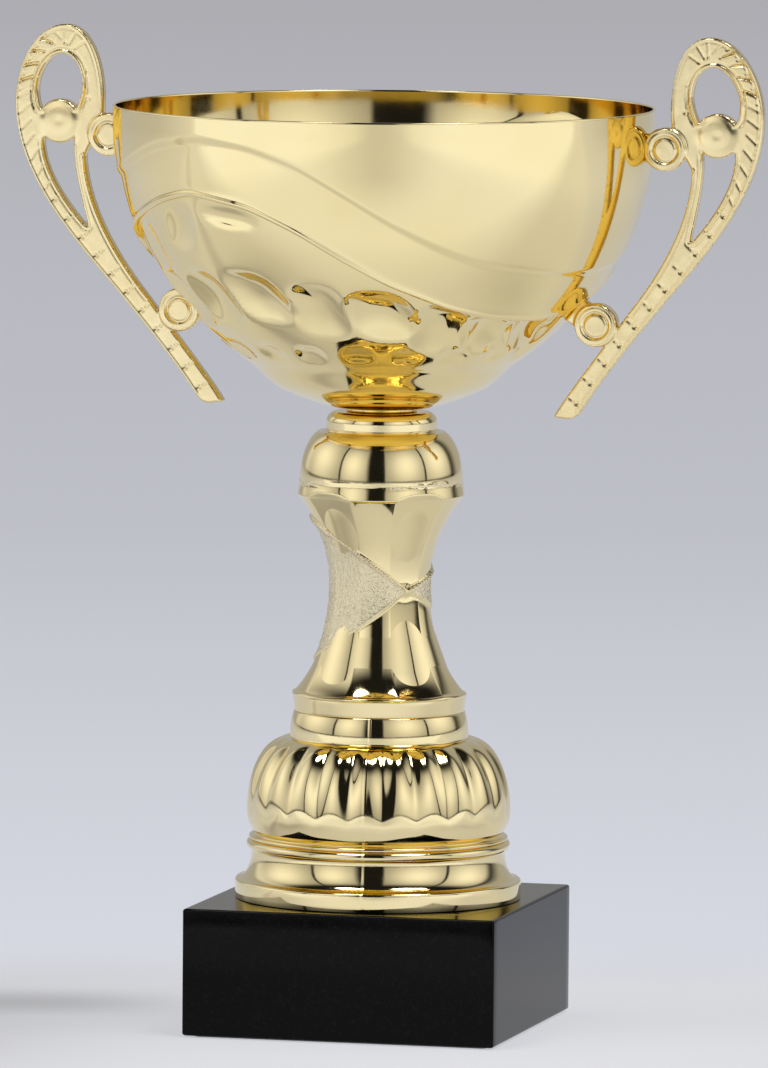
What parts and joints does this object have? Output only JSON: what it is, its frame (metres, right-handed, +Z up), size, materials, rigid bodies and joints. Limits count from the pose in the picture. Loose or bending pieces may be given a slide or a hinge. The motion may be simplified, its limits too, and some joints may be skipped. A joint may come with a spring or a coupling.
{
  "type": "cup trophy",
  "caption": "Two-handled gold-coloured award cup on a waisted stem and ribbed riser, clamped on a threaded rod above a square polished stone plinth.",
  "frame": {"origin": "centre of the face that the trophy stands on", "axes": "+Z up along the tie rod, +X towards the right handle as seen from the front, -Y towards the front"},
  "size_m": [0.2306, 0.1604, 0.2959],
  "materials": {
    "gold_metal": "polished",
    "gold_plastic": "polished",
    "black_stone": "polished",
    "felt": "matte",
    "zinc_steel": "satin"
  },
  "bodies": {
    "root": {"base_felt": "felt", "plinth": "black_stone", "base_washer": "zinc_steel", "base_nut": "zinc_steel", "tie_rod": "zinc_steel", "riser": "gold_plastic", "stem": "gold_plastic", "spacer_ring": "gold_metal", "cup": "gold_metal", "cup_washer": "zinc_steel", "cup_nut": "zinc_steel", "left_handle": "gold_plastic", "right_handle": "gold_plastic", "handle_screws": "zinc_steel", "handle_washers": "zinc_steel"}
  },
  "joints": []
}
